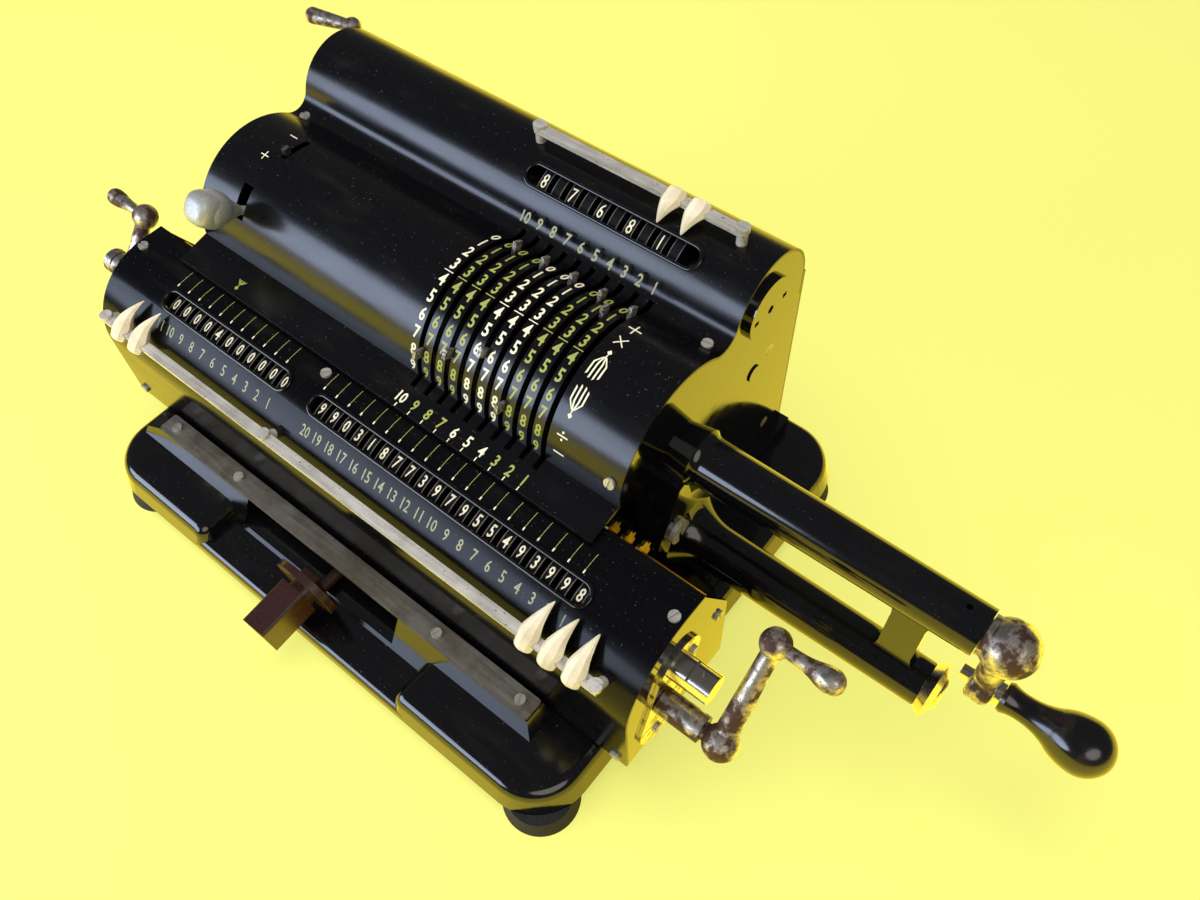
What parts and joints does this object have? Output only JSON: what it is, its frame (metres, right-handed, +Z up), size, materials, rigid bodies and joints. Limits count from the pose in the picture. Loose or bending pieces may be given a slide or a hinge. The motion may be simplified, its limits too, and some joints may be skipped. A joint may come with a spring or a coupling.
{
  "type": "pinwheel calculator",
  "caption": "Hand-cranked desk pinwheel calculator with setting levers in a curved cover, a sliding register carriage, clearing cranks and a cast base on rubber feet.",
  "frame": {"origin": "middle of the bounding box along X and Y, on the table under the rubber feet", "axes": "+X towards the main crank (the user's right), +Y towards the back, +Z up"},
  "size_m": [0.547, 0.266, 0.1811],
  "materials": {
    "base_enamel": "black stoved gloss enamel on cast iron",
    "body_enamel": "black stoved gloss enamel on sheet steel",
    "arm_enamel": "black stoved gloss enamel on cast iron",
    "nickel": "worn nickel plate, pitted",
    "steel": "plain machined steel",
    "screw_steel": "slotted steel screws, dull",
    "gear_brass": "plain machined brass",
    "oiled_steel": "oiled, darkened steel",
    "lever_nickel": "nickel-plated steel, darkened by oil inside the cover",
    "patina_nickel": "nickel plate browned by handling",
    "worn_steel": "steel strip worn grey with rust specks",
    "dial_enamel": "black enamelled dials with pale numerals",
    "numeral_enamel": "black enamelled numeral wheels with pale gold numerals",
    "knob_aluminium": "polished cast aluminium",
    "amber_resin": "mottled brown moulded resin",
    "ivory_resin": "aged cream moulded resin",
    "black_lacquer": "black lacquered wood",
    "foot_rubber": "matt black rubber"
  },
  "bodies": {
    "machine": {"base_casting": "base_enamel", "rubber_feet": "foot_rubber", "machine_screws": "screw_steel", "front_guide_strip": "worn_steel", "side_plate_left": "body_enamel", "side_plate_right": "body_enamel", "rear_panel": "body_enamel", "frame_rods": "steel", "top_cover": "body_enamel", "upper_pointer_rail": "worn_steel", "arm_bracket": "arm_enamel", "rest_cone": "nickel", "shaft_bearings": "steel", "overflow_bell": "gear_brass", "tens_carry_hammers": "steel"},
    "drum": {"main_shaft": "steel", "pinwheels": "oiled_steel", "crank_arm": "patina_nickel"},
    "spindle": {"handle_spindle": "nickel"},
    "grip": {"handle_grip": "black_lacquer"},
    "check_clear": {"check_clear_lever": "patina_nickel"},
    "sign_lever": {"counter_sign_lever": "nickel"},
    "clear_knob": {"setting_clear_knob": "knob_aluminium"},
    "carriage": {"carriage_frame": "body_enamel", "carriage_cover": "body_enamel", "carriage_screws": "screw_steel", "carriage_pointer_rail": "worn_steel", "transfer_gears": "gear_brass"},
    "product_wheels": {"product_wheel_set": "numeral_enamel"},
    "counter_wheels": {"counter_wheel_set": "numeral_enamel", "counter_clear_crank": "patina_nickel"},
    "product_crank": {"product_clear_crank": "patina_nickel"},
    "shift": {"shift_knob": "amber_resin"},
    "lever_10": {"setting_lever_10": "lever_nickel"},
    "dial_10": {"check_dial_10": "dial_enamel"},
    "lever_09": {"setting_lever_09": "lever_nickel"},
    "dial_09": {"check_dial_09": "dial_enamel"},
    "lever_08": {"setting_lever_08": "lever_nickel"},
    "dial_08": {"check_dial_08": "dial_enamel"},
    "lever_07": {"setting_lever_07": "lever_nickel"},
    "dial_07": {"check_dial_07": "dial_enamel"},
    "lever_06": {"setting_lever_06": "lever_nickel"},
    "dial_06": {"check_dial_06": "dial_enamel"},
    "lever_05": {"setting_lever_05": "lever_nickel"},
    "dial_05": {"check_dial_05": "dial_enamel"},
    "lever_04": {"setting_lever_04": "lever_nickel"},
    "dial_04": {"check_dial_04": "dial_enamel"},
    "lever_03": {"setting_lever_03": "lever_nickel"},
    "dial_03": {"check_dial_03": "dial_enamel"},
    "lever_02": {"setting_lever_02": "lever_nickel"},
    "dial_02": {"check_dial_02": "dial_enamel"},
    "lever_01": {"setting_lever_01": "lever_nickel"},
    "dial_01": {"check_dial_01": "dial_enamel"},
    "counter_pointer_left": {"counter_pointer_left": "ivory_resin"},
    "counter_pointer_right": {"counter_pointer_right": "ivory_resin"},
    "product_pointer_left": {"product_pointer_left": "ivory_resin"},
    "product_pointer_middle": {"product_pointer_middle": "ivory_resin"},
    "product_pointer_right": {"product_pointer_right": "ivory_resin"},
    "check_pointer_left": {"check_pointer_left": "ivory_resin"},
    "check_pointer_right": {"check_pointer_right": "ivory_resin"}
  },
  "joints": [
    {"name": "drum_turn", "type": "hinge", "parent": "machine", "child": "drum", "pos_m": [-0.0145, 0.0274, 0.112], "axis": [1, 0, 0], "continuous": true},
    {"name": "handle_pull", "type": "slide", "parent": "drum", "child": "spindle", "axis": [1, 0, 0], "range_m": [0, 0.004], "stiffness_N_per_m": 400},
    {"name": "grip_turn", "type": "hinge", "parent": "spindle", "child": "grip", "pos_m": [0.2608, 0.03765, 0.05878], "axis": [1, 0, 0], "continuous": true},
    {"name": "lever_10_set", "type": "hinge", "parent": "drum", "child": "lever_10", "pos_m": [-0.0455, 0.0274, 0.112], "axis": [1, 0, 0], "range_deg": [-96, 12]},
    {"name": "dial_10_turn", "type": "hinge", "parent": "machine", "child": "dial_10", "pos_m": [-0.0455, 0.0869, 0.1453], "axis": [1, 0, 0], "range_deg": [-288, 36]},
    {"name": "lever_09_set", "type": "hinge", "parent": "drum", "child": "lever_09", "pos_m": [-0.0375, 0.0274, 0.112], "axis": [1, 0, 0], "range_deg": [0, 108]},
    {"name": "dial_09_turn", "type": "hinge", "parent": "machine", "child": "dial_09", "pos_m": [-0.0375, 0.0869, 0.1453], "axis": [1, 0, 0], "range_deg": [0, 324]},
    {"name": "lever_08_set", "type": "hinge", "parent": "drum", "child": "lever_08", "pos_m": [-0.0295, 0.0274, 0.112], "axis": [1, 0, 0], "range_deg": [-84, 24]},
    {"name": "dial_08_turn", "type": "hinge", "parent": "machine", "child": "dial_08", "pos_m": [-0.0295, 0.0869, 0.1453], "axis": [1, 0, 0], "range_deg": [-252, 72]},
    {"name": "lever_07_set", "type": "hinge", "parent": "drum", "child": "lever_07", "pos_m": [-0.0215, 0.0274, 0.112], "axis": [1, 0, 0], "range_deg": [0, 108]},
    {"name": "dial_07_turn", "type": "hinge", "parent": "machine", "child": "dial_07", "pos_m": [-0.0215, 0.0869, 0.1453], "axis": [1, 0, 0], "range_deg": [0, 324]},
    {"name": "lever_06_set", "type": "hinge", "parent": "drum", "child": "lever_06", "pos_m": [-0.0135, 0.0274, 0.112], "axis": [1, 0, 0], "range_deg": [-72, 36]},
    {"name": "dial_06_turn", "type": "hinge", "parent": "machine", "child": "dial_06", "pos_m": [-0.0135, 0.0869, 0.1453], "axis": [1, 0, 0], "range_deg": [-216, 108]},
    {"name": "lever_05_set", "type": "hinge", "parent": "drum", "child": "lever_05", "pos_m": [-0.0055, 0.0274, 0.112], "axis": [1, 0, 0], "range_deg": [0, 108]},
    {"name": "dial_05_turn", "type": "hinge", "parent": "machine", "child": "dial_05", "pos_m": [-0.0055, 0.0869, 0.1453], "axis": [1, 0, 0], "range_deg": [0, 324]},
    {"name": "lever_04_set", "type": "hinge", "parent": "drum", "child": "lever_04", "pos_m": [0.0025, 0.0274, 0.112], "axis": [1, 0, 0], "range_deg": [-96, 12]},
    {"name": "dial_04_turn", "type": "hinge", "parent": "machine", "child": "dial_04", "pos_m": [0.0025, 0.0869, 0.1453], "axis": [1, 0, 0], "range_deg": [-288, 36]},
    {"name": "lever_03_set", "type": "hinge", "parent": "drum", "child": "lever_03", "pos_m": [0.0105, 0.0274, 0.112], "axis": [1, 0, 0], "range_deg": [0, 108]},
    {"name": "dial_03_turn", "type": "hinge", "parent": "machine", "child": "dial_03", "pos_m": [0.0105, 0.0869, 0.1453], "axis": [1, 0, 0], "range_deg": [0, 324]},
    {"name": "lever_02_set", "type": "hinge", "parent": "drum", "child": "lever_02", "pos_m": [0.0185, 0.0274, 0.112], "axis": [1, 0, 0], "range_deg": [-12, 96]},
    {"name": "dial_02_turn", "type": "hinge", "parent": "machine", "child": "dial_02", "pos_m": [0.0185, 0.0869, 0.1453], "axis": [1, 0, 0], "range_deg": [-36, 288]},
    {"name": "lever_01_set", "type": "hinge", "parent": "drum", "child": "lever_01", "pos_m": [0.0265, 0.0274, 0.112], "axis": [1, 0, 0], "range_deg": [0, 108]},
    {"name": "dial_01_turn", "type": "hinge", "parent": "machine", "child": "dial_01", "pos_m": [0.0265, 0.0869, 0.1453], "axis": [1, 0, 0], "range_deg": [0, 324]},
    {"name": "check_clear_turn", "type": "hinge", "parent": "machine", "child": "check_clear", "pos_m": [-0.2041, 0.0869, 0.1453], "axis": [1, 0, 0], "range_deg": [0, 60]},
    {"name": "sign_lever_turn", "type": "hinge", "parent": "machine", "child": "sign_lever", "pos_m": [-0.1625, 0.0274, 0.112], "axis": [1, 0, 0], "range_deg": [-14, 0]},
    {"name": "clear_knob_turn", "type": "hinge", "parent": "machine", "child": "clear_knob", "pos_m": [-0.1689, 0.0274, 0.112], "axis": [1, 0, 0], "range_deg": [-12, 0]},
    {"name": "carriage_shift", "type": "slide", "parent": "machine", "child": "carriage", "axis": [1, 0, 0], "range_m": [-0.048, 0.032]},
    {"name": "product_wheels_turn", "type": "hinge", "parent": "carriage", "child": "product_wheels", "pos_m": [-0.0015, -0.0414, 0.08], "axis": [1, 0, 0], "continuous": true},
    {"name": "counter_wheels_turn", "type": "hinge", "parent": "carriage", "child": "counter_wheels", "pos_m": [-0.1425, -0.0414, 0.08], "axis": [1, 0, 0], "continuous": true},
    {"name": "product_crank_turn", "type": "hinge", "parent": "carriage", "child": "product_crank", "pos_m": [0.1259, -0.0514, 0.0624], "axis": [1, 0, 0], "continuous": true},
    {"name": "shift_press", "type": "slide", "parent": "carriage", "child": "shift", "axis": [0, 1, 0], "range_m": [0, 0.003], "stiffness_N_per_m": 400},
    {"name": "counter_pointer_left_slide", "type": "slide", "parent": "carriage", "child": "counter_pointer_left", "axis": [1, 0, 0], "range_m": [-0.0035, 0.003]},
    {"name": "counter_pointer_right_slide", "type": "slide", "parent": "carriage", "child": "counter_pointer_right", "axis": [1, 0, 0], "range_m": [-0.003, 0.08]},
    {"name": "product_pointer_left_slide", "type": "slide", "parent": "carriage", "child": "product_pointer_left", "axis": [1, 0, 0], "range_m": [-0.145, 0.0015]},
    {"name": "product_pointer_middle_slide", "type": "slide", "parent": "carriage", "child": "product_pointer_middle", "axis": [1, 0, 0], "range_m": [-0.0015, 0.002]},
    {"name": "product_pointer_right_slide", "type": "slide", "parent": "carriage", "child": "product_pointer_right", "axis": [1, 0, 0], "range_m": [-0.002, 0.0012]},
    {"name": "check_pointer_left_slide", "type": "slide", "parent": "machine", "child": "check_pointer_left", "axis": [1, 0, 0], "range_m": [-0.06, 0.002]},
    {"name": "check_pointer_right_slide", "type": "slide", "parent": "machine", "child": "check_pointer_right", "axis": [1, 0, 0], "range_m": [-0.002, 0.0125]}
  ],
  "couplings": [
    {"joint": "dial_10_turn", "follows": "lever_10_set", "ratio": 3},
    {"joint": "dial_09_turn", "follows": "lever_09_set", "ratio": 3},
    {"joint": "dial_08_turn", "follows": "lever_08_set", "ratio": 3},
    {"joint": "dial_07_turn", "follows": "lever_07_set", "ratio": 3},
    {"joint": "dial_06_turn", "follows": "lever_06_set", "ratio": 3},
    {"joint": "dial_05_turn", "follows": "lever_05_set", "ratio": 3},
    {"joint": "dial_04_turn", "follows": "lever_04_set", "ratio": 3},
    {"joint": "dial_03_turn", "follows": "lever_03_set", "ratio": 3},
    {"joint": "dial_02_turn", "follows": "lever_02_set", "ratio": 3},
    {"joint": "dial_01_turn", "follows": "lever_01_set", "ratio": 3},
    {"joint": "product_crank_turn", "follows": "product_wheels_turn", "ratio": -1}
  ]
}
